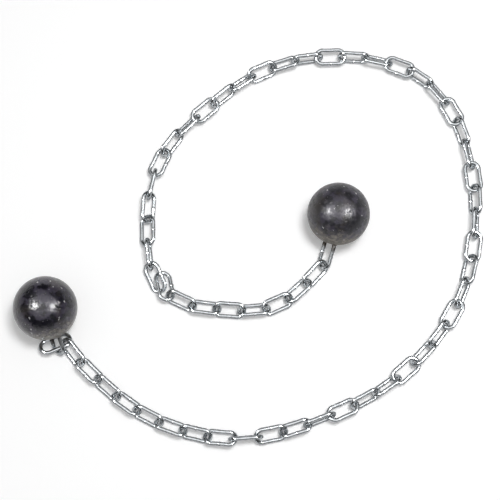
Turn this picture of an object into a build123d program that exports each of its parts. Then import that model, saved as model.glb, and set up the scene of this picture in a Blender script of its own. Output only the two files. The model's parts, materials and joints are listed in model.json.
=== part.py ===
"""Two cast iron balls joined by a welded straight-link chain, laid out in a spiral on a flat surface.

Millimetres, +Z up.  The origin is under the middle of the whole set, on the surface it lies on.
Every link is a separate solid, and each ball carries an eye: a chain link with one crown welded into it.
"""

import os
from math import cos, radians, sin

from build123d import *

# Driving dimensions
ball_diameter = 61.5
wire = 4.0  # diameter of the chain's round wire
link_width = 18.0  # outside
link_inner_length = 25.8
play = 1.5  # free travel left at each interlock of the laid-out chain
weld_upset = 0.2  # how far the butt weld stands out of the wire
weld_length = 1.6
weld_chamfer = 0.18  # round each end of the weld
bead_radius = 3.2  # weld bead where an eye's leg enters its ball

# Values that follow from them
ball_radius = ball_diameter / 2
crown_radius = (link_width - wire) / 2  # of the wire's centre line
half_leg = (link_inner_length + 2 * wire - link_width) / 2
half_link = half_leg + crown_radius  # from a link's middle to its crown's centre line
pitch = link_inner_length - play
crown_reach = half_link - pitch / 2  # a crown's centre line passes its interlock point by this much

# How closely positions along the route and rims of the weld are found
halvings = 30
rim_tolerance = 0.01

# The chain's route over the surface: one stretch either side of the fold, as the interlocks pass
long_route = [
    (-179.5, -95), (-164, -114), (-146.5, -131), (-109.5, -160), (-63.5, -180), (-15, -187.5),
    (33, -180.5), (80.5, -164), (123.5, -142.5), (161, -113), (193, -75), (215, -29), (224.5, 19),
    (226, 66), (218.5, 112), (205, 148), (182, 176.5), (144, 197.5), (96, 204), (47, 200),
    (2, 183), (-36, 153.5), (-71.5, 120.5), (-94.5, 82.5), (-102.5, 33), (-98.5, -18), (-97.5, -24),
]
short_route = [(-78.5, -48), (-56, -58.5), (-32, -61.5), (17, -61), (40, -50), (58, -33), (78, -12)]

# How far each link from the second to the last leans over, in degrees, left leg up when positive
link_leans = (
    (44, -39) * 3 + (44, -28, -84)  # rocked from side to side
    + (34, -38, 78, -16, 58, -60, 14, -56, 56, -14)
    + (58, -50, 10, 66, -58, -2, 60, -66, -10)  # turned about 60 degrees from one to the next
    + (50, -76, -16, 46, -76, -16, -82, 34, -36)
    + (48, -68, -2, 58, -60, 14, 80, -46, 30)
    + (-82, 24, -18)  # the last two of these are the links of the fold
    + (46, -34, 36, -42, 32, -38, 44)
)
fold_link = 49  # the link that the next one has slid back into
fold_heading = -66
slid_heading = -76
slid_slope = 12
slid_crown_height = 7.0  # of its wire, where the next link pulls on it

# The first link lies across the end of the chain, and the first eye holds it by one leg
first_heading = 24
first_slope = -8
first_lean = -20
first_crown_height = 6.8  # of its wire, where the second link pulls on it
eye_hold = 1.2  # along the leg, from the link's middle
eye_play = 5.0  # from that leg's centre line to the eye's crown

# How each eye runs from its ball down to the surface: heading, slope and lean in degrees
eye_runs = {1: (-73, 31.2, 50), 2: (-107, 25.5, 45)}
last_play = 0.6  # more room where the last link turns up to its eye
last_rise = 1.0  # of that eye's crown over the last interlock

UP = Vector(0, 0, 1)


def direction(heading, slope=0):
    """The unit vector at this heading, rising at this slope."""
    level = cos(radians(slope))
    return Vector(level * cos(radians(heading)), level * sin(radians(heading)), sin(radians(slope)))


def across(along, lean):
    """The direction of a link's width: level and to the left at no lean, turned up as it leans."""
    level = UP.cross(along).normalized()
    return level.rotate(Axis((0, 0, 0), along), lean)


def link_plane(middle, along, lean):
    """The plane of a link: X along its legs, Y across its width."""
    return Plane(origin=middle, x_dir=along, z_dir=along.cross(across(along, lean)))


def lying_height(lean):
    """The height of a link's middle when its lower leg lies on the surface."""
    return crown_radius * abs(sin(radians(lean))) + wire / 2


def paced(points, count):
    """Points one pitch apart, straight across, along a smooth curve through the given points."""
    curve = Spline(*points)
    stations = [curve @ 0]
    travelled = 0
    for _ in range(count):
        near = travelled
        far = min(travelled + 2 * pitch, curve.length)
        for _ in range(halvings):
            travelled = (near + far) / 2
            ahead = curve.position_at(travelled, position_mode=PositionMode.LENGTH)
            if (ahead - stations[-1]).length < pitch:
                near = travelled
            else:
                far = travelled
        stations.append(ahead)
    return stations


def run_of_links(stations, leans, first_height):
    """Planes of the links between stations, each interlock as high as the more upright link needs."""
    heights = [first_height]
    for lean, next_lean in zip(leans, leans[1:] + leans[-1:]):
        heights.append(max(lying_height(lean), lying_height(next_lean)))
    raised = [Vector(spot.X, spot.Y, height) for spot, height in zip(stations, heights)]
    planes = []
    for start, finish, lean in zip(raised, raised[1:], leans):
        planes.append(link_plane((start + finish) / 2, (finish - start).normalized(), lean))
    return planes, raised


def pulled_link(interlock, puller, crown_height, along, lean):
    """The plane of a link whose far crown is pulled off to one side by the next link."""
    normal = along.cross(across(along, lean))
    pull = (puller - normal * puller.dot(normal)).normalized()
    pulled_wire = interlock + puller * crown_reach
    pulled_wire.Z = crown_height
    return link_plane(pulled_wire - pull * crown_radius - along * half_leg, along, lean)


# Chain layout
long_count = fold_link - 2
long_leans = link_leans[:long_count]
fold_lean, slid_lean = link_leans[long_count : long_count + 2]
long_stations = paced(long_route, long_count)
link_planes, long_points = run_of_links(long_stations, long_leans, lying_height(long_leans[0]))

fold_start = long_points[-1]
fold_finish = fold_start + direction(fold_heading) * pitch
fold_finish.Z = lying_height(fold_lean)
fold_along = (fold_finish - fold_start).normalized()
link_planes.append(link_plane((fold_start + fold_finish) / 2, fold_along, fold_lean))

short_leans = link_leans[long_count + 2 :]
short_stations = paced(short_route, len(short_leans))
short_planes, short_points = run_of_links(short_stations, short_leans, lying_height(short_leans[0]))
slid_along = direction(slid_heading, slid_slope)
link_planes.append(
    pulled_link(short_points[0], short_planes[0].x_dir, slid_crown_height, slid_along, slid_lean)
)
link_planes += short_planes

first_along = direction(first_heading, first_slope)
first_link = pulled_link(
    long_points[0], link_planes[0].x_dir, first_crown_height, first_along, first_lean
)
link_planes.insert(0, first_link)

# Eyes and balls
held_wire = first_link.from_local_coords((eye_hold, -crown_radius, 0))
eye_planes = {}
ball_centres = {}
for side, (heading, slope, lean) in eye_runs.items():
    outward = direction(heading, -slope)
    if side == 1:
        eye_tip = held_wire + outward * eye_play
    else:
        eye_tip = short_points[-1] + outward * (crown_reach + last_play) + UP * last_rise
    eye_planes[side] = link_plane(eye_tip - outward * half_link, outward, lean)
    ball_centres[side] = eye_tip - outward * ((ball_radius - eye_tip.Z) / sin(radians(slope)))


# One chain link, its middle at the origin, with a butt weld in the left leg
with BuildPart() as chain_link:
    for end in (1, -1):
        with BuildSketch(Plane.YZ.offset(-half_leg)):
            with Locations((end * crown_radius, 0)):
                Circle(wire / 2)
        extrude(amount=2 * half_leg)
        with BuildSketch(Plane.YZ.offset(end * half_leg)):
            with Locations((crown_radius, 0)):
                Circle(wire / 2)
        revolve(axis=Axis((end * half_leg, 0, 0), (0, 0, -end)), revolution_arc=180)
    with Locations(Location((0, crown_radius, 0), (0, 90, 0))):
        Cylinder(wire / 2 + weld_upset, weld_length)
    weld_rims = chain_link.edges().filter_by(GeomType.CIRCLE).filter_by(
        lambda rim: abs(rim.radius - wire / 2 - weld_upset) < rim_tolerance
    )
    chamfer(weld_rims, weld_chamfer)

pieces = {}

for number, place in enumerate(link_planes, start=1):
    # Every third link has its weld on the other leg
    turn = 180 if number % 3 == 0 else 0
    with BuildPart() as laid_link:
        with Locations(place.location * Location((0, 0, 0), (0, 0, turn))):
            add(chain_link.part)
    pieces[f"link_{number:02d}"] = laid_link.part

for side, place in eye_planes.items():
    with BuildPart() as ball:
        with Locations(ball_centres[side]):
            Sphere(ball_radius)

    # The eye ends where its legs meet the ball, with a weld bead round each
    centre = ball_centres[side]
    depth = place.to_local_coords(centre).X
    leg_entry = depth + (ball_radius**2 - crown_radius**2) ** 0.5
    with BuildPart() as eye:
        with Locations(place):
            add(chain_link.part)
        with Locations(place.location):
            with Locations((leg_entry, crown_radius, 0), (leg_entry, -crown_radius, 0)):
                Sphere(bead_radius)
        with Locations(centre):
            Sphere(ball_radius, mode=Mode.SUBTRACT)

    pieces[f"ball_{side}"] = Compound([ball.part.solid(), eye.part.solid()])

# The origin goes under the middle of the set
spread = Compound(list(pieces.values())).bounding_box()
to_origin = Location((-spread.center().X, -spread.center().Y, -spread.min.Z))

os.makedirs("parts", exist_ok=True)
for name, piece in pieces.items():
    piece = piece.moved(to_origin)
    piece.label = name
    export_step(piece, f"parts/{name}.step")
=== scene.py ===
"""Looks of the ball and chain pair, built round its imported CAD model.

Metres, +Z up, with the set lying on the plane Z = 0.  Every link is bent from round wire by one
Geometry Nodes tree, and each ball is a cast skin with a chain link welded into it as an eye.
"""

import json
import logging
import math
from dataclasses import dataclass, field
from enum import Enum

import bmesh
import bpy
import numpy as np
from mathutils import Matrix, Vector


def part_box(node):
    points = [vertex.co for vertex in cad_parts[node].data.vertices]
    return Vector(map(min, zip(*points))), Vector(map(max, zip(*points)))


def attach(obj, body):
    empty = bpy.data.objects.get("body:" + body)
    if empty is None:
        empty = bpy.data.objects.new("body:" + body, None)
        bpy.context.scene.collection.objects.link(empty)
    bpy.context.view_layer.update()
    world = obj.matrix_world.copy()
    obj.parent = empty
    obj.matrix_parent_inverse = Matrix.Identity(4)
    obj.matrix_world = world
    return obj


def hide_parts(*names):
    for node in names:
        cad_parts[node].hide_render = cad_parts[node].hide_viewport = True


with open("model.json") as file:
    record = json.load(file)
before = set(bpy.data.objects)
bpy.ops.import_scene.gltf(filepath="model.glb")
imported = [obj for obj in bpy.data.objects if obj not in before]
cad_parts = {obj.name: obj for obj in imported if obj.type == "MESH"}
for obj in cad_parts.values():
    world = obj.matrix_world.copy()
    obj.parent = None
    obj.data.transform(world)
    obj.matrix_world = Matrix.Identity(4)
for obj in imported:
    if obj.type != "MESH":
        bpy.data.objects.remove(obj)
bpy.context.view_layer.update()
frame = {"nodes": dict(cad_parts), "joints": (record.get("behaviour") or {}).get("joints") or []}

log = logging.getLogger("ball_and_chain")

MM = 0.001
BALL_POLISH = {"ball_1": 0.11, "ball_2": 0.3}  # each ball's least roughness
WHITE = (1.0, 1.0, 1.0, 1.0)
ORIGIN = (0.0, 0.0, 0.0)
EYE_SEED = 80  # an eye's random numbers come from this and its ball's number
BEAD_SEED = 40  # and those of its weld from this

Triple = tuple[float, float, float]
Colour = tuple[float, float, float, float]
Material, Mesh, NodeTree, Socket = (
    bpy.types.Material, bpy.types.Mesh, bpy.types.NodeTree, bpy.types.NodeSocket
)
Input = Socket | Material | float | tuple[float, ...]

SOCKETS = {
    float: "NodeSocketFloat",
    int: "NodeSocketInt",
    tuple: "NodeSocketVector",
    type(None): "NodeSocketMaterial",
}


class Slot(Enum):
    """The record's material slots."""

    IRON = "cast_iron"
    ZINC = "zinc_plated_steel"


class Lamp(Enum):
    """The lamps: a high one lights the set and throws its shadows, and two beside it are only mirrored."""

    KEY = "key_lamp"
    RIGHT = "right_lamp"
    LEFT = "left_lamp"


@dataclass(frozen=True)
class Cloud:
    """Soft patches: the scale of their noise, and the noise at which they begin and are full."""

    scale: float
    low: float
    high: float


@dataclass(frozen=True)
class Specks:
    """Scattered spots: the scale of their cells, a spot's size in its cell, and the share that has one."""

    scale: float
    size: float
    share: float


@dataclass(frozen=True)
class Scratches:
    """Fine lines: their scale, their width and how they are turned, in radians."""

    scale: float
    width: float
    turn: Triple


@dataclass(frozen=True)
class Halo:
    """A patch round one spot, and how far it reaches."""

    spot: Triple
    reach: float


@dataclass(frozen=True)
class Coat:
    """A colour that is laid over another, and how strongly."""

    colour: Colour
    strength: float = 1.0


Pattern = Cloud | Specks | Scratches | Halo
Effects = dict[type, NodeTree]  # the shader group that makes each kind of pattern


class Tree:
    """Adds nodes to one node tree and links them.  The inputs of a group are in `given`."""

    kind = ""
    result = ("", "")

    def __init__(self, tree: NodeTree) -> None:
        """Wraps a node tree."""
        self.tree = tree
        self.given = None

    @classmethod
    def group(cls, name: str, given: dict[str, Input | None]) -> "Tree":
        """Starts a node group with named inputs and one output.

        Args:
            name: the group's name.
            given: each input's name and default; None makes a material input.

        Returns:
            The wrapped group.
        """
        made = cls(bpy.data.node_groups.new(name, cls.kind))
        for label, default in given.items():
            socket = made.tree.interface.new_socket(
                name=label, in_out="INPUT", socket_type=SOCKETS[type(default)]
            )
            if default is not None:
                socket.default_value = default
        label, socket_type = cls.result
        made.tree.interface.new_socket(name=label, in_out="OUTPUT", socket_type=socket_type)
        made.given = made.tree.nodes.new("NodeGroupInput").outputs
        return made

    def give(self, value: Socket) -> NodeTree:
        """Makes a value the group's output and returns the finished group."""
        self.feed(self.tree.nodes.new("NodeGroupOutput").inputs[0], value)
        return self.tree

    def feed(self, socket: Socket, value: Input) -> None:
        """Links an input to an output, or sets it to a constant.

        Args:
            socket: the input.
            value: the output or the constant.
        """
        if isinstance(value, Socket):
            self.tree.links.new(value, socket)
        else:
            socket.default_value = value

    def node(self, kind: str, given: dict[str | int, Input], **settings: object) -> bpy.types.Node:
        """Adds a node.

        Args:
            kind: the node's type.
            given: a constant or a socket for each named or numbered input.
            settings: the node's own properties.

        Returns:
            The new node.
        """
        made = self.tree.nodes.new(kind)
        for name, value in settings.items():
            setattr(made, name, value)
        for name, value in given.items():
            self.feed(made.inputs[name], value)
        return made

    def math(self, operation: str, *values: Input, clamp: bool = False) -> Socket:
        """Adds a Math node and returns its result."""
        made = self.node("ShaderNodeMath", dict(enumerate(values)), operation=operation, use_clamp=clamp)
        return made.outputs[0]

    def vector(self, operation: str, *values: Input, result: str = "Vector") -> Socket:
        """Adds a Vector Math node and returns its vector, or its value."""
        made = self.node("ShaderNodeVectorMath", dict(enumerate(values)), operation=operation)
        return made.outputs[result]

    def scaled(self, vector: Input, by: Input) -> Socket:
        """A vector times a number."""
        made = self.node("ShaderNodeVectorMath", {0: vector, "Scale": by}, operation="SCALE")
        return made.outputs["Vector"]

    def distance(self, first: Input, second: Input) -> Socket:
        """How far two places are apart."""
        return self.vector("DISTANCE", first, second, result="Value")

    def ramp(
        self, value: Input, low: Input, high: Input, to_low: Input = 0.0, to_high: Input = 1.0
    ) -> Socket:
        """Turns a value's rise from low to high into a smooth one from to_low to to_high."""
        given = {0: value, 1: low, 2: high, 3: to_low, 4: to_high}
        return self.node("ShaderNodeMapRange", given, interpolation_type="SMOOTHSTEP").outputs[0]

    def noise(self, where: Input, scale: Input, detail: float = 2.0, roughness: float = 0.5) -> Socket:
        """A noise value at a place."""
        given = {"Vector": where, "Scale": scale, "Detail": detail, "Roughness": roughness}
        return self.node("ShaderNodeTexNoise", given).outputs[0]

    def cells(self, where: Input, scale: Input, share: Input) -> tuple[Socket, Socket]:
        """Divides space into cells and picks some of them.

        Args:
            where: the place.
            scale: how fine the cells are.
            share: the share of the cells that is picked.

        Returns:
            How far the place is from the middle of its cell, and whether the cell is picked.
        """
        cells = self.node("ShaderNodeTexVoronoi", {"Vector": where, "Scale": scale})
        lot = self.node("ShaderNodeSeparateXYZ", {0: cells.outputs["Color"]}).outputs[0]
        return cells.outputs["Distance"], self.math("LESS_THAN", lot, share)


class ShaderTree(Tree):
    """A shader's node tree.  As a group, it makes one mask."""

    kind = "ShaderNodeTree"
    result = ("Mask", "NodeSocketFloat")

    def place(self) -> Socket:
        """The place on the piece, in the piece's own coordinates."""
        return self.node("ShaderNodeTexCoord", {}).outputs["Object"]

    def shifted_place(self) -> Socket:
        """The place on the piece, moved by the group's Shift."""
        return self.vector("ADD", self.place(), self.given["Shift"])

    def mix(self, share: Input, first: Input, second: Input) -> Socket:
        """Mixes two colours and returns the result."""
        return self.node("ShaderNodeMix", {0: share, 6: first, 7: second}, data_type="RGBA").outputs[2]


class ShapeTree(Tree):
    """A Geometry Nodes group that makes one shape."""

    kind = "GeometryNodeTree"
    result = ("Geometry", "NodeSocketGeometry")

    def point(self) -> Socket:
        """The place of each point."""
        return self.node("GeometryNodeInputPosition", {}).outputs[0]

    def coordinate(self, axis: str) -> Socket:
        """One coordinate of each point."""
        return self.node("ShaderNodeSeparateXYZ", {0: self.point()}).outputs[axis]

    def along(self, axis: str, amount: Input) -> Socket:
        """An offset along one axis."""
        return self.node("ShaderNodeCombineXYZ", {axis: amount}).outputs[0]

    def moved(self, shape: Input, offset: Input) -> Socket:
        """A shape with its points moved."""
        return self.node("GeometryNodeSetPosition", {"Geometry": shape, "Offset": offset}).outputs[0]

    def stored(self, shape: Input, name: str, value: Input) -> Socket:
        """A shape that carries a named number at each point."""
        given = {"Geometry": shape, "Name": name, "Value": value}
        return self.node("GeometryNodeStoreNamedAttribute", given, domain="POINT").outputs[0]

    def ring(self, steps: Input, radius: Input) -> Socket:
        """A circular curve."""
        given = {"Resolution": steps, "Radius": radius}
        return self.node("GeometryNodeCurvePrimitiveCircle", given).outputs["Curve"]

    def sphere(self, radius: Input, subdivisions: int) -> Socket:
        """A ball of even triangles."""
        given = {"Radius": radius, "Subdivisions": subdivisions}
        return self.node("GeometryNodeMeshIcoSphere", given).outputs[0]

    def dressed(self, shape: Input) -> NodeTree:
        """Makes a shape smooth, real and of the group's Finish, and gives it as the group's output.

        Args:
            shape: the shape.

        Returns:
            The finished group.
        """
        smooth = self.node("GeometryNodeSetShadeSmooth", {"Geometry": shape}).outputs[0]
        real = self.node("GeometryNodeRealizeInstances", {"Geometry": smooth}).outputs[0]
        given = {"Geometry": real, "Material": self.given["Finish"]}
        return self.give(self.node("GeometryNodeSetMaterial", given).outputs[0])


def cloud_group() -> NodeTree:
    """Soft patches that come and go over a surface.

    Returns:
        The group.
    """
    tree = ShaderTree.group("cloud", {"Shift": ORIGIN, "Scale": 100.0, "Low": 0.4, "High": 0.6})
    patches = tree.noise(tree.shifted_place(), tree.given["Scale"], detail=4.0, roughness=0.6)
    return tree.give(tree.ramp(patches, tree.given["Low"], tree.given["High"]))


def specks_group() -> NodeTree:
    """Scattered small spots with torn rims.

    Returns:
        The group.
    """
    tear_fineness = 4.0  # of the noise that tears the rims, next to the cells
    tear_reach = 0.55  # in cells
    firm_part = 0.6  # of a spot, from its middle
    tree = ShaderTree.group("specks", {"Shift": ORIGIN, "Scale": 300.0, "Size": 0.2, "Share": 0.2})
    given = tree.given
    place = tree.shifted_place()
    fine = tree.math("MULTIPLY", given["Scale"], tear_fineness)
    torn = tree.node("ShaderNodeTexNoise", {"Vector": place, "Scale": fine, "Detail": 3.0}).outputs["Color"]
    tear = tree.scaled(torn, tree.math("DIVIDE", tear_reach, given["Scale"]))
    far, chosen = tree.cells(tree.vector("ADD", place, tear), given["Scale"], given["Share"])
    firm = tree.math("MULTIPLY", given["Size"], firm_part)
    spot = tree.ramp(far, firm, given["Size"], 1.0, 0.0)
    return tree.give(tree.math("MULTIPLY", spot, chosen))


def scratches_group() -> NodeTree:
    """Fine lines that run about one way, broken up along their length.

    Returns:
        The group.
    """
    drawn_out = (1.0, 0.12, 1.0)  # the noise is stretched along the lines
    breaks = Cloud(90.0, 0.52, 0.66)
    tree = ShaderTree.group("scratches", {"Shift": ORIGIN, "Turn": ORIGIN, "Scale": 200.0, "Width": 0.03})
    given = {"Vector": tree.shifted_place(), "Rotation": tree.given["Turn"], "Scale": drawn_out}
    turned = tree.node("ShaderNodeMapping", given).outputs[0]
    level = tree.noise(turned, tree.given["Scale"], detail=0.0)
    ridge = tree.math("ABSOLUTE", tree.math("SUBTRACT", level, 0.5))
    line = tree.ramp(ridge, 0.0, tree.given["Width"], 1.0, 0.0)
    broken = tree.ramp(tree.noise(tree.shifted_place(), breaks.scale, detail=1.0), breaks.low, breaks.high)
    return tree.give(tree.math("MULTIPLY", line, broken))


def halo_group() -> NodeTree:
    """A ragged patch round one spot, fading outwards.

    Returns:
        The group.
    """
    ragged_scale = 160.0
    firm_part = 0.45  # of the patch, from its middle
    tree = ShaderTree.group("halo", {"Spot": ORIGIN, "Reach": 0.02})
    reach = tree.given["Reach"]
    place = tree.place()
    far = tree.distance(place, tree.given["Spot"])
    level = tree.math("SUBTRACT", tree.noise(place, ragged_scale, detail=4.0, roughness=0.65), 0.5)
    ragged = tree.math("ADD", far, tree.math("MULTIPLY", level, reach))
    return tree.give(tree.ramp(ragged, tree.math("MULTIPLY", reach, firm_part), reach, 1.0, 0.0))


class Dresser(ShaderTree):
    """A material's node tree, with its Principled shader ready."""

    def __init__(self, name: str, effects: Effects | None = None) -> None:
        """Makes the material.

        Args:
            name: the material's name.
            effects: the shared effects, if it uses any.
        """
        self.material = bpy.data.materials.new(name)
        self.material.use_nodes = True
        super().__init__(self.material.node_tree)
        self.shader = self.tree.nodes["Principled BSDF"]
        self.effects = effects

    def effect(self, pattern: Pattern, **given: Input) -> Socket:
        """Places a shared effect with its own values.

        Args:
            pattern: the effect's kind and values.
            given: any more of its inputs.

        Returns:
            Its mask.
        """
        made = self.node("ShaderNodeGroup", {}, node_tree=self.effects[type(pattern)])
        for name, value in (vars(pattern) | given).items():
            self.feed(made.inputs[name.capitalize()], value)
        return made.outputs["Mask"]

    def attribute(self, name: str) -> Socket:
        """A number that the mesh carries at each point."""
        return self.node("ShaderNodeAttribute", {}, attribute_name=name).outputs["Fac"]

    def laid(self, under: Input, mask: Input, coat: Coat) -> Socket:
        """A colour with a coat laid over it where a mask is."""
        return self.mix(self.math("MULTIPLY", mask, coat.strength), under, coat.colour)

    def dress(self, **given: Input) -> Material:
        """Feeds the shader's inputs.

        Args:
            given: a value for each input, with _ for a space in its name.

        Returns:
            The material.
        """
        for name, value in given.items():
            self.feed(self.shader.inputs[name.replace("_", " ")], value)
        return self.material

    def bumps(self, height: Socket, distance: float, strength: float) -> Socket:
        """The normal that a height gives."""
        given = {"Height": height, "Distance": distance, "Strength": strength}
        return self.node("ShaderNodeBump", given).outputs[0]


@dataclass(frozen=True)
class ZincPlate:
    """Zinc plate on drawn wire, clouded, dull at the butt weld, and dark where it is welded on: weld burn
    plus painted shade and a painted dark reflection of the ball.
    """

    name: str
    # Where an eye darkens next to its ball: weld burn, and painted shade and a painted dark reflection of
    # the ball
    burn: Halo
    bright: Colour = (0.5, 0.52, 0.535, 1.0)
    clouded: Coat = Coat((0.36, 0.38, 0.395, 1.0))
    speckled: Coat = Coat((0.28, 0.28, 0.29, 1.0), 0.25)
    welded: Coat = Coat((0.28, 0.28, 0.29, 1.0), 0.8)
    # The colour of that dark patch: weld burn together with painted shade and reflection of the ball
    burnt: Coat = Coat((0.045, 0.04, 0.036, 1.0))
    edge_tint: Colour = (0.12, 0.125, 0.135, 1.0)
    clouds: Cloud = Cloud(260.0, 0.42, 0.68)
    specks: Specks = Specks(620.0, 0.22, 0.16)
    scratches: Scratches = Scratches(900.0, 0.03, (0.3, 0.2, 0.7))
    polish: float = 0.19
    dullness: float = 0.26  # the roughness of a clouded place
    burnt_roughness: float = 0.25  # added in the patch of weld burn and painted shade by a ball
    worn_roughness: float = 0.14  # added on the weld and in scratches
    grain_scale: float = 900.0
    scratch_depth: float = 0.5  # of the grain's height
    relief: float = 0.01 * MM
    relief_strength: float = 0.3

    def material(self, effects: Effects) -> Material:
        """Builds the plate's material.

        Args:
            effects: the shared effects.

        Returns:
            The material.
        """
        skin = Dresser(self.name, effects)
        cloud = skin.effect(self.clouds)
        scratches = skin.effect(self.scratches)
        weld = skin.attribute("weld")
        # The eye's patch next to its ball: weld burn, and painted shade and a painted dark reflection of the
        # ball
        burn = skin.effect(self.burn)
        colour = skin.laid(self.bright, cloud, self.clouded)
        colour = skin.laid(colour, skin.effect(self.specks), self.speckled)
        colour = skin.laid(colour, weld, self.welded)
        colour = skin.laid(colour, burn, self.burnt)
        worn = skin.math("MAXIMUM", weld, scratches)
        rough = skin.math("MULTIPLY_ADD", cloud, self.dullness - self.polish, self.polish)
        rough = skin.math("MULTIPLY_ADD", burn, self.burnt_roughness, rough)
        rough = skin.math("MULTIPLY_ADD", worn, self.worn_roughness, rough)
        grain = skin.noise(skin.place(), self.grain_scale, detail=3.0)
        height = skin.math("SUBTRACT", grain, skin.math("MULTIPLY", scratches, self.scratch_depth))
        return skin.dress(
            Base_Color=colour,
            Metallic=1.0,
            Roughness=rough,
            Specular_Tint=self.edge_tint,
            Normal=skin.bumps(height, self.relief, self.relief_strength),
        )


@dataclass(frozen=True)
class BlackenedIron:
    """Blackened cast skin: mottled, pitted, chipped pale in spots and scaled brown round its weld."""

    name: str
    scale: Halo
    shift: Triple
    polish: float
    black: Colour = (0.007, 0.0066, 0.0108, 1.0)
    bloomed: Coat = Coat((0.04, 0.035, 0.053, 1.0))
    browned: Coat = Coat((0.04, 0.032, 0.026, 1.0), 0.5)
    scorched: Coat = Coat((0.04, 0.032, 0.026, 1.0), 0.8)
    scaled: Coat = Coat((0.33, 0.3, 0.255, 1.0), 0.9)
    chipped: Coat = Coat((0.62, 0.61, 0.62, 1.0), 0.8)
    worn: Coat = Coat((0.62, 0.61, 0.62, 1.0), 0.35)
    pitted: Coat = Coat((0.008, 0.008, 0.009, 1.0), 0.8)
    bloom: Cloud = Cloud(90.0, 0.44, 0.58)
    brown: Cloud = Cloud(45.0, 0.5, 0.66)
    grain: Cloud = Cloud(330.0, 0.4, 0.62)
    chips: Specks = Specks(190.0, 0.2, 0.34)
    dots: Specks = Specks(420.0, 0.2, 0.12)
    scratches: Scratches = Scratches(260.0, 0.008, (0.5, 0.3, 0.9))
    scale_grain: float = 0.6  # how far the scale follows the grain
    scratch_share: float = 0.4  # of a scratch in the worn colour, and of its depth
    grain_roughness: float = 0.16
    worn_roughness: float = 0.25  # added near the weld and in the pits
    grain_height: float = 0.6
    chip_height: float = 0.5
    relief: float = 0.18 * MM
    relief_strength: float = 0.75
    refraction: float = 1.55

    def material(self, effects: Effects) -> Material:
        """Builds one ball's material.

        Args:
            effects: the shared effects.

        Returns:
            The material.
        """
        skin = Dresser(self.name, effects)
        grain = skin.effect(self.grain, shift=self.shift)
        chips = skin.effect(self.chips, shift=self.shift)
        dots = skin.effect(self.dots, shift=self.shift)
        scratches = skin.math("MULTIPLY", skin.effect(self.scratches, shift=self.shift), self.scratch_share)
        halo = skin.effect(self.scale)
        pits = skin.attribute("pit")
        crust = skin.math("MULTIPLY_ADD", grain, self.scale_grain, 1.0 - self.scale_grain)
        colour = skin.laid(self.black, skin.effect(self.bloom, shift=self.shift), self.bloomed)
        colour = skin.laid(colour, skin.effect(self.brown, shift=self.shift[::-1]), self.browned)
        colour = skin.laid(colour, halo, self.scorched)
        colour = skin.laid(colour, skin.math("MULTIPLY", halo, crust), self.scaled)
        colour = skin.laid(colour, chips, self.chipped)
        colour = skin.laid(colour, skin.math("ADD", dots, scratches, clamp=True), self.worn)
        colour = skin.laid(colour, pits, self.pitted)
        rough = skin.math("MULTIPLY_ADD", grain, self.grain_roughness, self.polish)
        rough = skin.math("MULTIPLY_ADD", skin.math("MAXIMUM", halo, pits), self.worn_roughness, rough)
        height = skin.math("MULTIPLY", chips, self.chip_height)
        height = skin.math("MULTIPLY_ADD", grain, self.grain_height, height)
        height = skin.math("SUBTRACT", height, scratches)
        return skin.dress(
            Base_Color=colour,
            Roughness=rough,
            IOR=self.refraction,
            Normal=skin.bumps(height, self.relief, self.relief_strength),
        )


@dataclass(frozen=True)
class WeldMetal:
    """Grey weld bead and spatter, darkened in burnt patches."""

    pale: Colour = (0.30, 0.29, 0.27, 1.0)
    burnt: Coat = Coat((0.07, 0.062, 0.055, 1.0))
    speckled: Coat = Coat((0.07, 0.062, 0.055, 1.0), 0.5)
    burn: Cloud = Cloud(330.0, 0.36, 0.6)
    specks: Specks = Specks(700.0, 0.25, 0.3)
    metallic: float = 0.7
    polish: float = 0.38
    burnt_roughness: float = 0.2
    relief: float = 0.1 * MM
    relief_strength: float = 0.6

    def material(self, effects: Effects) -> Material:
        """Builds the weld's material.

        Args:
            effects: the shared effects.

        Returns:
            The material.
        """
        skin = Dresser("weld_metal", effects)
        burn = skin.effect(self.burn)
        specks = skin.effect(self.specks)
        colour = skin.laid(self.pale, burn, self.burnt)
        colour = skin.laid(colour, specks, self.speckled)
        return skin.dress(
            Base_Color=colour,
            Metallic=self.metallic,
            Roughness=skin.math("MULTIPLY_ADD", burn, self.burnt_roughness, self.polish),
            Normal=skin.bumps(skin.math("SUBTRACT", burn, specks), self.relief, self.relief_strength),
        )


def added(name: str, data: bpy.types.ID) -> bpy.types.Object:
    """Adds an object with this data to the scene.

    Args:
        name: the object's name.
        data: its mesh, light or camera.

    Returns:
        The object.
    """
    made = bpy.data.objects.new(name, data)
    bpy.context.scene.collection.objects.link(made)
    return made


def grown_mesh(group: NodeTree, name: str, values: dict[str, Input]) -> Mesh:
    """Runs a Geometry Nodes group once and keeps its result as a plain mesh.

    Args:
        group: the group to run.
        name: the mesh's name.
        values: each named input's value.

    Returns:
        The mesh, with its materials and attributes.
    """
    carrier = added(name + "_seed", bpy.data.meshes.new(name + "_seed"))
    modifier = carrier.modifiers.new("grow", "NODES")
    modifier.node_group = group
    for item in group.interface.items_tree:
        if item.in_out == "INPUT" and item.name in values:
            modifier[item.identifier] = values[item.name]
    mesh = evaluated_mesh(carrier)
    mesh.name = name
    return mesh


def evaluated_mesh(carrier: bpy.types.Object) -> Mesh:
    """Applies an object's modifiers to a mesh of its own, and takes the object away.

    Args:
        carrier: the object.

    Returns:
        The mesh.
    """
    depsgraph = bpy.context.evaluated_depsgraph_get()
    mesh = bpy.data.meshes.new_from_object(carrier.evaluated_get(depsgraph))
    carrier.modifiers.clear()
    bpy.data.objects.remove(carrier)
    return mesh


def placed_piece(name: str, mesh: Mesh, body: str, nodes: tuple[str, ...]) -> None:
    """Puts a finished mesh in the scene as a piece on a body.

    Args:
        name: the piece's name.
        mesh: its mesh, already in place.
        body: the CAD body that it rides on.
        nodes: the CAD nodes that it stands for.
    """
    piece = added(name, mesh)
    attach(piece, body)
    if nodes:
        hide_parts(*nodes)
    log.info("%s: %d faces on %s", name, len(mesh.polygons), body)


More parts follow.
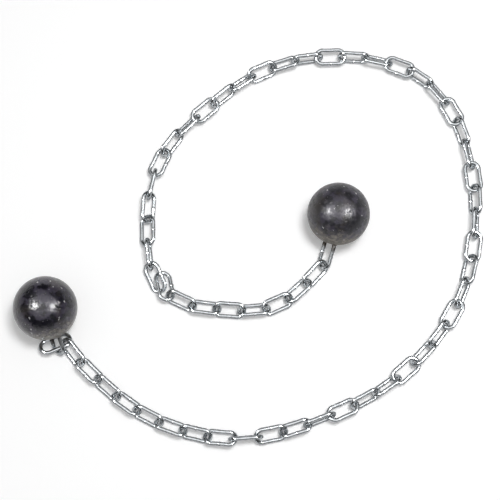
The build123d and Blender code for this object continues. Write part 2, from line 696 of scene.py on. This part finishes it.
def node_points(name: str) -> np.ndarray:
    """Reads every vertex of a CAD node.

    Args:
        name: the node's name.

    Returns:
        The vertices, one row each.
    """
    mesh = frame["nodes"][name].data
    flat = np.empty(len(mesh.vertices) * 3, np.float32)
    mesh.vertices.foreach_get("co", flat)
    return flat.reshape(-1, 3).astype(float)


def matrix_of(along: np.ndarray, across: np.ndarray, middle: np.ndarray) -> Matrix:
    """The place of a link from its directions and its middle."""
    normal = np.cross(along, across)
    return Matrix([[along[i], across[i], normal[i], middle[i]] for i in range(3)] + [[0, 0, 0, 1]])


@dataclass
class LinkShape:
    """One straight chain link of round wire, with a butt weld in the middle of its left leg."""

    wire_radius: float = 1.985 * MM
    crown_radius: float = 7.0 * MM
    half_leg: float = 7.9 * MM
    weld_upset: float = 0.2 * MM
    weld_length: float = 1.5 * MM
    weld_top: float = 0.45  # the share of the weld, from its middle, that has its full height
    leg_bow: float = 0.12 * MM
    bow_steps: int = 5  # the links bow by one to two times leg_bow, in this many steps
    skin_wave: float = 0.012 * MM
    wave_scale: float = 330.0
    weld_waves: float = 4.0  # added to the waves' swing on the weld
    crown_start: float = 0.98  # of half_leg, from the link's middle
    ring_steps: int = 98
    steps_along: int = 168
    steps_round: int = 18

    def __post_init__(self) -> None:
        """Builds the group that bends a link."""
        sizes = {
            "Wire Radius": self.wire_radius, "Crown Radius": self.crown_radius, "Half Leg": self.half_leg,
            "Weld Upset": self.weld_upset, "Weld Length": self.weld_length, "Leg Bow": self.leg_bow,
            "Skin Wave": self.skin_wave, "Steps Along": self.steps_along, "Steps Round": self.steps_round,
        }
        self.tree = tree = ShapeTree.group("bent_link", sizes | {"Seed": 0, "Finish": None})
        weld = self.weld_share()
        loop = tree.stored(self.bowed_loop(), "weld", weld)
        upset = tree.math("DIVIDE", tree.given["Weld Upset"], tree.given["Wire Radius"])
        swell = tree.math("MULTIPLY_ADD", weld, upset, 1.0)
        profile = tree.ring(tree.given["Steps Round"], tree.given["Wire Radius"])
        swept = {"Curve": loop, "Profile Curve": profile, "Scale": swell}
        wire = tree.node("GeometryNodeCurveToMesh", swept).outputs[0]
        self.group = tree.dressed(tree.moved(wire, self.skin_offset(weld)))

    def bowed_loop(self) -> Socket:
        """Draws the wire's centre line: a ring parted into two crowns, with its legs bowed in a little.

        Returns:
            The centre line.
        """
        tree, given = self.tree, self.tree.given
        ring = tree.ring(self.ring_steps, given["Crown Radius"])
        parting = tree.math("MULTIPLY", tree.math("SIGN", tree.coordinate("X")), given["Half Leg"])
        parted = tree.moved(ring, tree.along("X", parting))
        even = tree.node("GeometryNodeResampleCurve", {"Curve": parted, "Count": given["Steps Along"]})
        run = tree.math("DIVIDE", tree.coordinate("X"), given["Half Leg"])
        arch = tree.math("MAXIMUM", tree.math("SUBTRACT", 1.0, tree.math("MULTIPLY", run, run)), 0.0)
        outward = tree.math("MULTIPLY", tree.math("SIGN", tree.coordinate("Y")), given["Leg Bow"])
        inward = tree.math("MULTIPLY", outward, -1.0)
        return tree.moved(even.outputs[0], tree.along("Y", tree.math("MULTIPLY", arch, inward)))

    def weld_share(self) -> Socket:
        """Finds how far each point of the wire is into the weld.

        Returns:
            A number from 0 to 1.
        """
        tree = self.tree
        off_middle = tree.math("ABSOLUTE", tree.coordinate("X"))
        half = tree.math("MULTIPLY", tree.given["Weld Length"], 0.5)
        near = tree.ramp(off_middle, tree.math("MULTIPLY", half, self.weld_top), half, 1.0, 0.0)
        left = tree.math("GREATER_THAN", tree.coordinate("Y"), 0.0)
        return tree.math("MULTIPLY", near, left)

    def skin_offset(self, weld: Socket) -> Socket:
        """Makes the small waves of the drawn wire, larger on the weld.

        Args:
            weld: how far a point is into the weld.

        Returns:
            How far each point moves.
        """
        tree = self.tree
        full_swing = 2.0  # the noise swings half a unit each way
        given = {"ID": 0, "Seed": tree.given["Seed"], 0: (-1.0, -1.0, -1.0), 1: (1.0, 1.0, 1.0)}
        seed = tree.node("FunctionNodeRandomValue", given, data_type="FLOAT_VECTOR").outputs[0]
        wave = tree.noise(tree.vector("ADD", tree.point(), seed), self.wave_scale)
        height = tree.math("MULTIPLY_ADD", weld, self.weld_waves, full_swing)
        amount = tree.math("MULTIPLY", tree.given["Skin Wave"], height)
        rise = tree.math("MULTIPLY", tree.math("SUBTRACT", wave, 0.5), amount)
        return tree.scaled(tree.node("GeometryNodeInputNormal", {}).outputs[0], rise)

    def mesh(self, name: str, seed: int, finish: Material, place: Matrix) -> Mesh:
        """Bends one link and puts its mesh in place.

        Args:
            name: the mesh's name.
            seed: what makes this link's skin its own.
            finish: its material.
            place: where it lies.

        Returns:
            The link's mesh.
        """
        bow = self.leg_bow * (1 + (seed % self.bow_steps) / (self.bow_steps - 1))
        mesh = grown_mesh(self.group, name, {"Seed": seed, "Finish": finish, "Leg Bow": bow})
        mesh.transform(place)
        return mesh

    def place_of(self, points: np.ndarray) -> Matrix:
        """Finds where a link lies, X along its legs and its weld on +Y.

        Args:
            points: the vertices of its CAD node.

        Returns:
            Its place.
        """
        loose = points - points.mean(axis=0)
        _, axes = np.linalg.eigh(loose.T @ loose)
        along, across = axes[:, 2], axes[:, 1]
        turn = np.array([along, across, np.cross(along, across)])
        local = points @ turn.T
        half_way = (local[:, 0].max() + local[:, 0].min()) / 2
        off_middle = np.abs(local[:, 0] - half_way)
        crowns = local[off_middle > self.half_leg * self.crown_start]
        centre = (crowns.max(axis=0) + crowns.min(axis=0)) / 2
        legs = local[off_middle < self.weld_length / 2, 1] - centre[1]
        middle = centre @ turn
        if legs.max() < -legs.min():
            along, across = -along, -across
        return matrix_of(along, across, middle)


@dataclass
class Chain:
    """The 57 loose links."""

    shape: LinkShape
    finish: Material

    def build(self) -> None:
        """Makes each link where its CAD node is."""
        names = sorted(name for name in frame["nodes"] if name not in BALL_POLISH)
        for seed, name in enumerate(names, start=1):
            place = self.shape.place_of(node_points(name))
            mesh = self.shape.mesh("wire_" + name, seed, self.finish, place)
            placed_piece("wire_" + name, mesh, name, (name,))


@dataclass
class CastSkin:
    """A ball's cast skin: low lumps, fine grain and scattered pits, all standing in from its CAD surface."""

    radius: float
    lump_height: float = 0.12 * MM
    lump_scale: float = 95.0
    grain_scale: float = 620.0
    grain_share: float = 0.25  # of the lumps' height
    pit_depth: float = 0.4 * MM
    pit_scale: float = 240.0
    pit_share: float = 0.22  # of the cells
    pit_floor: float = 0.08  # the radii of a pit's floor and rim, in cells
    pit_rim: float = 0.3
    crowding: Cloud = Cloud(60.0, 0.42, 0.56)
    subdivisions: int = 7

    def mesh(self, name: str, shift: Triple, finish: Material) -> Mesh:
        """Casts the skin round the origin.

        Args:
            name: the mesh's name.
            shift: what makes this skin its own.
            finish: its material.

        Returns:
            The skin's mesh.
        """
        sizes = {"Radius": self.radius, "Lump Height": self.lump_height, "Pit Depth": self.pit_depth}
        tree = ShapeTree.group("cast_skin", sizes | {"Shift": shift, "Finish": None})
        given = tree.given
        place = tree.vector("ADD", tree.point(), given["Shift"])
        pit = self.pits(tree, place)
        lumps = tree.math("SUBTRACT", tree.noise(place, self.lump_scale, detail=3.0), 1.0)
        grain = tree.math("SUBTRACT", tree.noise(place, self.grain_scale), 1.0)
        lumps = tree.math("MULTIPLY_ADD", grain, self.grain_share, lumps)
        rise = tree.math("MULTIPLY", lumps, given["Lump Height"])
        rise = tree.math("SUBTRACT", rise, tree.math("MULTIPLY", pit, given["Pit Depth"]))
        ball = tree.stored(tree.sphere(given["Radius"], self.subdivisions), "pit", pit)
        cast = tree.moved(ball, tree.scaled(tree.vector("NORMALIZE", tree.point()), rise))
        return grown_mesh(tree.dressed(cast), name, {"Finish": finish})

    def pits(self, tree: ShapeTree, place: Socket) -> Socket:
        """Scatters pits, crowded in some parts and missing in others.

        Args:
            tree: the skin's tree.
            place: where each point is in the noise.

        Returns:
            How deep each point is in a pit, from 0 to 1.
        """
        far, chosen = tree.cells(place, self.pit_scale, self.pit_share)
        hollow = tree.ramp(far, self.pit_floor, self.pit_rim, 1.0, 0.0)
        level = tree.noise(place, self.crowding.scale, detail=1.0)
        crowded = tree.ramp(level, self.crowding.low, self.crowding.high)
        return tree.math("MULTIPLY", tree.math("MULTIPLY", hollow, chosen), crowded)


@dataclass
class WeldRing:
    """A ring of overlapping beads round each leg of an eye, run together."""

    finish: Material
    beads: int = 7
    stray: float = 0.2  # of a bead round its ring, in radians
    bead_radius: float = 1.5 * MM
    bead_sizes: tuple[float, float] = (0.75, 1.0)  # least and greatest, next to bead_radius
    core_radius: float = 2.3 * MM
    ring_radii: tuple[float, float] = (1.5, 2.0)  # least and greatest, in millimetres
    bead_sink: float = 0.5  # of a bead's middle into the ball, in millimetres
    core_sink: float = 0.8  # of the core's middle, likewise
    bead_subdivisions: int = 3
    voxel: float = 0.2 * MM
    smoothings: int = 4

    def mesh(self, entries: list[Vector], centre: Vector, leg: Vector, seed: int) -> Mesh:
        """Lays the beads and runs them together.

        Args:
            entries: where the legs go into the ball.
            centre: the ball's centre.
            leg: the direction of the legs.
            seed: what makes this weld its own.

        Returns:
            The weld's mesh.
        """
        shell = bmesh.new()
        chance = np.random.default_rng(seed)
        for entry in entries:
            outward = (entry - centre).normalized()
            beside = outward.cross(leg.orthogonal()).normalized()
            for step in range(self.beads):
                angle = math.tau * step / self.beads + chance.uniform(-self.stray, self.stray)
                beside_leg = Matrix.Rotation(angle, 3, outward) @ beside
                out = beside_leg * chance.uniform(*self.ring_radii) * MM
                size = self.bead_radius * chance.uniform(*self.bead_sizes)
                self.add_bead(shell, entry + out - outward * self.bead_sink * MM, size)
            self.add_bead(shell, entry - outward * self.core_sink * MM, self.core_radius)
        blobs = bpy.data.meshes.new("beads")
        shell.to_mesh(blobs)
        shell.free()
        return self.run_together(blobs)

    def add_bead(self, shell: bmesh.types.BMesh, spot: Vector, radius: float) -> None:
        """Adds one round bead."""
        place = Matrix.Translation(spot)
        bmesh.ops.create_icosphere(shell, subdivisions=self.bead_subdivisions, radius=radius, matrix=place)

    def run_together(self, blobs: Mesh) -> Mesh:
        """Makes one skin of overlapping beads.

        Args:
            blobs: the beads.

        Returns:
            The skin, in the weld's finish.
        """
        carrier = added("beads", blobs)
        remesh = carrier.modifiers.new("run_together", "REMESH")
        remesh.mode = "VOXEL"
        remesh.voxel_size = self.voxel
        remesh.use_smooth_shade = True
        soften = carrier.modifiers.new("soften", "SMOOTH")
        soften.iterations = self.smoothings
        mesh = evaluated_mesh(carrier)
        mesh.materials.clear()
        mesh.materials.append(self.finish)
        return mesh


@dataclass
class Spatter:
    """Small frozen drops on a ball's skin, close together near the weld and few further off."""

    finish: Material
    drop: float = 0.45 * MM
    drop_sizes: tuple[float, float] = (0.35, 1.0)  # least and greatest, next to drop
    flatness: float = 0.5
    sink: float = 0.22 * MM
    close_reach: float = 4 * MM  # the drops thin out from here
    far_reach: float = 20 * MM  # to here
    crowded: float = 60000.0  # drops to a square metre near the weld, besides the sparse ones
    sparse: float = 900.0  # and everywhere
    ball_subdivisions: int = 5
    drop_subdivisions: int = 2

    def mesh(self, name: str, radius: float, spot: Vector, seed: int) -> Mesh:
        """Throws the drops on a ball round the origin.

        Args:
            name: the mesh's name.
            radius: the ball's radius.
            spot: the middle of the weld.
            seed: what makes this spatter its own.

        Returns:
            The drops' mesh.
        """
        sizes = {"Radius": radius - self.sink, "Drop": self.drop, "Spot": tuple(spot)}
        tree = ShapeTree.group("spatter", sizes | {"Seed": seed, "Finish": None})
        given = tree.given
        far = tree.distance(tree.point(), given["Spot"])
        close = tree.ramp(far, self.close_reach, self.far_reach, 1.0, 0.0)
        density = tree.math("MULTIPLY_ADD", tree.math("MULTIPLY", close, close), self.crowded, self.sparse)
        ball = tree.sphere(given["Radius"], self.ball_subdivisions)
        scattered = {"Mesh": ball, "Density": density, "Seed": given["Seed"]}
        drops = tree.node("GeometryNodeDistributePointsOnFaces", scattered).outputs
        least, greatest = self.drop_sizes
        chance = {2: least, 3: greatest, "Seed": given["Seed"]}
        size = tree.node("FunctionNodeRandomValue", chance).outputs[1]
        height = tree.math("MULTIPLY", size, self.flatness)
        scale = tree.node("ShaderNodeCombineXYZ", {"X": size, "Y": size, "Z": height}).outputs[0]
        drop = tree.sphere(given["Drop"], self.drop_subdivisions)
        placed = {name: drops[name] for name in ("Points", "Rotation")} | {"Instance": drop, "Scale": scale}
        thrown = tree.node("GeometryNodeInstanceOnPoints", placed).outputs[0]
        return grown_mesh(tree.dressed(thrown), name, {"Finish": self.finish})


@dataclass
class BallWithEye:
    """One cast ball, the chain link welded into it as its eye, and the weld."""

    body: str
    seed: int
    link: LinkShape
    weld: Material
    polish: float
    eye_clearance: float = 0.5 * MM  # CAD points further than this off the ball are the eye's
    end_depth: float = 1.5 * MM  # of the eye's cut ends, inside the ball
    burnt_depth: float = 3 * MM  # of the middle of the eye's burn and painted shade, inside the ball
    # how far the eye's weld burn and painted shade of the ball reach
    burnt_reach: float = 17 * MM
    scale_reach: float = 36 * MM
    finish_shift: Triple = (0.13, -0.07, 0.21)  # times the ball's number
    skin_shift: Triple = (1.7, 0.4, 0.9)

    def __post_init__(self) -> None:
        """Reads the ball's and the eye's places from the CAD node."""
        low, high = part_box(self.body)
        self.radius = (high.x - low.x) / 2
        self.centre = Vector(((low.x + high.x) / 2, high.y - self.radius, high.z - self.radius))
        joint = next(joint for joint in frame["joints"] if joint["child"] == self.body)
        outward = (Vector(joint["pos_m"]) - self.centre).normalized()
        along = np.array(outward)
        points = node_points(self.body) - np.array(self.centre)
        eye = points[np.linalg.norm(points, axis=1) > self.radius + self.eye_clearance]
        reach = eye @ along
        tip = reach.max() - self.link.wire_radius
        crown = eye[reach > tip - self.link.crown_radius]
        flat = crown - np.outer(crown @ along, along)
        flat -= (flat.max(axis=0) + flat.min(axis=0)) / 2
        _, axes = np.linalg.eigh(flat.T @ flat)
        middle = self.centre + outward * (tip - self.link.half_leg - self.link.crown_radius)
        self.eye_place = matrix_of(along, axes[:, 2], np.array(middle))
        self.weld_spot = self.centre + outward * self.radius
        self.burnt_spot = self.centre + outward * (self.radius - self.burnt_depth)

    def build(self, effects: Effects) -> None:
        """Makes the ball, its eye and its weld.

        Args:
            effects: the shared effects.
        """
        body, home = self.body, Matrix.Translation(self.centre)
        scale = Halo(tuple(self.weld_spot), self.scale_reach)
        iron = BlackenedIron(body + "_iron", scale, self.shifted(self.finish_shift), self.polish)
        shift = self.shifted(self.skin_shift)
        skin = CastSkin(self.radius).mesh("cast_" + body, shift, iron.material(effects))
        skin.transform(home)
        placed_piece("cast_" + body, skin, body, (body,))

        # The eye darkens next to the ball: weld burn, and painted shade and a painted dark reflection of the
        # ball
        zinc = ZincPlate(body + "_zinc", Halo(tuple(self.burnt_spot), self.burnt_reach))
        placed_piece("eye_of_" + body, self.eye_mesh(zinc.material(effects)), body, (body,))

        leg = self.eye_place.to_3x3() @ Vector((1, 0, 0))
        ring = WeldRing(self.weld).mesh(self.leg_entries(), self.centre, leg, BEAD_SEED + self.seed)
        placed_piece("weld_of_" + body, ring, body, (body,))

        spot = self.weld_spot - self.centre
        spatter = Spatter(self.weld).mesh("spatter_of_" + body, self.radius, spot, self.seed)
        spatter.transform(home)
        placed_piece("spatter_of_" + body, spatter, body, ())

    def shifted(self, step: Triple) -> Triple:
        """A step as many times as the ball's number."""
        return tuple(part * self.seed for part in step)

    def eye_mesh(self, zinc: Material) -> Mesh:
        """Bends the eye, cuts it off inside the ball and closes it there.

        Args:
            zinc: its material.

        Returns:
            The eye's mesh.
        """
        mesh = self.link.mesh("eye_of_" + self.body, EYE_SEED + self.seed, zinc, self.eye_place)
        shell = bmesh.new()
        shell.from_mesh(mesh)
        depth = self.radius - self.end_depth
        buried = [vert for vert in shell.verts if (vert.co - self.centre).length < depth]
        bmesh.ops.delete(shell, geom=buried, context="VERTS")
        bmesh.ops.holes_fill(shell, edges=[edge for edge in shell.edges if edge.is_boundary])
        bmesh.ops.recalc_face_normals(shell, faces=shell.faces)
        shell.to_mesh(mesh)
        shell.free()
        return mesh

    def leg_entries(self) -> list[Vector]:
        """Finds where the eye's two legs go into the ball.

        Returns:
            A place for each leg.
        """
        inner = self.eye_place.inverted() @ self.centre
        depth = inner.x + math.sqrt(self.radius**2 - self.link.crown_radius**2)
        return [self.eye_place @ Vector((depth, side * self.link.crown_radius, 0)) for side in (1, -1)]


@dataclass(frozen=True)
class LampPlace:
    """A lamp's direction from the set in degrees, round from +X and up, its side and its power in watts."""

    azimuth: float
    elevation: float
    size: float
    power: float


LAMP_PLACES = {
    Lamp.KEY: LampPlace(15.0, 80.0, 0.4, 15.0),
    Lamp.RIGHT: LampPlace(-8.0, 59.0, 0.4, 26.0),
    Lamp.LEFT: LampPlace(-176.0, 55.0, 0.36, 24.0),
}


def direction(azimuth: float, elevation: float) -> Vector:
    """The direction at an azimuth from +X and an elevation, in degrees."""
    a, e = math.radians(azimuth), math.radians(elevation)
    return Vector((math.cos(a) * math.cos(e), math.sin(a) * math.cos(e), math.sin(e)))


@dataclass
class Studio:
    """A pale floor, one high soft lamp, two mirrored ones and a camera nearly overhead."""

    aim: Vector = field(default_factory=lambda: Vector((-0.0038, -0.0087, 0.0)))
    camera_elevation: float = 76.0
    camera_distance: float = 1.12
    lens: float = 80.64
    sensor: float = 36.0
    lamp_distance: float = 1.6
    floor_half: float = 4.0
    paper: Colour = (0.93, 0.93, 0.93, 1.0)
    lit_paper: Colour = (0.3, 0.3, 0.3, 1.0)  # what it throws back on the set
    paper_roughness: float = 0.9
    near_reach: float = 0.5  # the floor's glow rises from here
    far_reach: float = 2.4  # to here, so that it stays white outside the lamp's light
    floor_glow: float = 0.17
    far_glow: float = 0.62
    lighting: float = 0.38  # of the air, from all round
    panel: tuple[float, ...] = (0.55, 0.93, 0.02, 1.6)  # a bright panel overhead that metal mirrors
    backdrop: tuple[float, ...] = (0.02, 0.1, 1.0, 0.0)  # white at the horizon

    def build(self) -> None:
        """Makes the floor, the air, the lamps and the camera."""
        self.build_floor()
        self.build_air()
        for role, place in LAMP_PLACES.items():
            self.build_lamp(role, place)
        self.build_camera()

    def build_floor(self) -> None:
        """A matt floor that is seen and mirrored white where it is fully lit, and keeps shadows."""
        shell = bmesh.new()
        bmesh.ops.create_grid(shell, x_segments=8, y_segments=8, size=self.floor_half)
        mesh = bpy.data.meshes.new("floor")
        shell.to_mesh(mesh)
        shell.free()
        paper = Dresser("white_paper")
        path = paper.node("ShaderNodeLightPath", {}).outputs
        mirrored = paper.math("ADD", path["Is Glossy Ray"], path["Is Transmission Ray"])
        seen = paper.math("ADD", path["Is Camera Ray"], mirrored, clamp=True)
        far = paper.distance(paper.place(), ORIGIN)
        glow = paper.ramp(far, self.near_reach, self.far_reach, self.floor_glow, self.far_glow)
        paper.dress(
            Base_Color=paper.mix(seen, self.lit_paper, self.paper),
            Roughness=self.paper_roughness,
            Specular_IOR_Level=0.0,
            Emission_Color=WHITE,
            Emission_Strength=paper.math("MULTIPLY", seen, glow),
        )
        mesh.materials.append(paper.material)
        added("floor", mesh)

    def build_air(self) -> None:
        """Dim light from all round, white where it is seen, with a panel and a backdrop to mirror."""
        world = bpy.data.worlds.new("studio_air")
        world.use_nodes = True
        bpy.context.scene.world = world
        air = ShaderTree(world.node_tree)
        way = air.node("ShaderNodeTexCoord", {}).outputs["Generated"]
        height = air.node("ShaderNodeSeparateXYZ", {0: way}).outputs["Z"]
        mirrored = air.math("MAXIMUM", air.ramp(height, *self.panel), air.ramp(height, *self.backdrop))
        path = air.node("ShaderNodeLightPath", {}).outputs
        more = air.math("SUBTRACT", mirrored, self.lighting)
        strength = air.math("MULTIPLY_ADD", path["Is Glossy Ray"], more, self.lighting)
        seen = air.math("ADD", path["Is Camera Ray"], path["Is Transmission Ray"], clamp=True)
        ground = air.tree.nodes["Background"]
        air.feed(ground.inputs["Color"], WHITE)
        air.feed(ground.inputs["Strength"], air.math("MAXIMUM", strength, seen))

    def build_lamp(self, role: Lamp, place: LampPlace) -> None:
        """Hangs a square soft lamp, turned to the middle of the set.

        Args:
            role: what the lamp is for.
            place: where it hangs and how strong it is.
        """
        light = bpy.data.lights.new(role.value, "AREA")
        light.shape = "SQUARE"
        light.size = place.size
        light.energy = place.power
        lamp = added(role.value, light)
        lamp.visible_glossy = role is not Lamp.KEY
        lamp.visible_diffuse = role is Lamp.KEY
        self.turn_to_set(lamp, direction(place.azimuth, place.elevation), self.lamp_distance)

    def build_camera(self) -> None:
        """Sets the camera over the near side of the set."""
        lens = bpy.data.cameras.new("camera")
        lens.lens = self.lens
        lens.sensor_width = self.sensor
        camera = added("camera", lens)
        self.turn_to_set(camera, direction(-90.0, self.camera_elevation), self.camera_distance)
        bpy.context.scene.camera = camera

    def turn_to_set(self, thing: bpy.types.Object, back: Vector, distance: float) -> None:
        """Puts a lamp or a camera at a distance back from the set, looking at it."""
        thing.location = self.aim + back * distance
        thing.rotation_euler = back.to_track_quat("Z", "Y").to_euler()


def main() -> None:
    """Builds the studio, the chain and the two balls."""
    logging.basicConfig(level=logging.INFO, format="%(name)s %(message)s")
    bpy.context.scene.view_settings.view_transform = "Standard"
    effects = {
        Cloud: cloud_group(), Specks: specks_group(), Scratches: scratches_group(), Halo: halo_group()
    }
    unburnt_unshaded = Halo((0.0, 0.0, -1.0), 1 * MM)  # far below every link, so that no loose link gets the weld burn and painted shade
    zinc = ZincPlate("zinc_plate", unburnt_unshaded).material(effects)
    weld = WeldMetal().material(effects)
    link = LinkShape()
    Chain(link, zinc).build()
    for seed, (body, polish) in enumerate(BALL_POLISH.items(), start=1):
        BallWithEye(body, seed, link, weld, polish).build(effects)
    Studio().build()


if __name__ == "__main__":
    main()
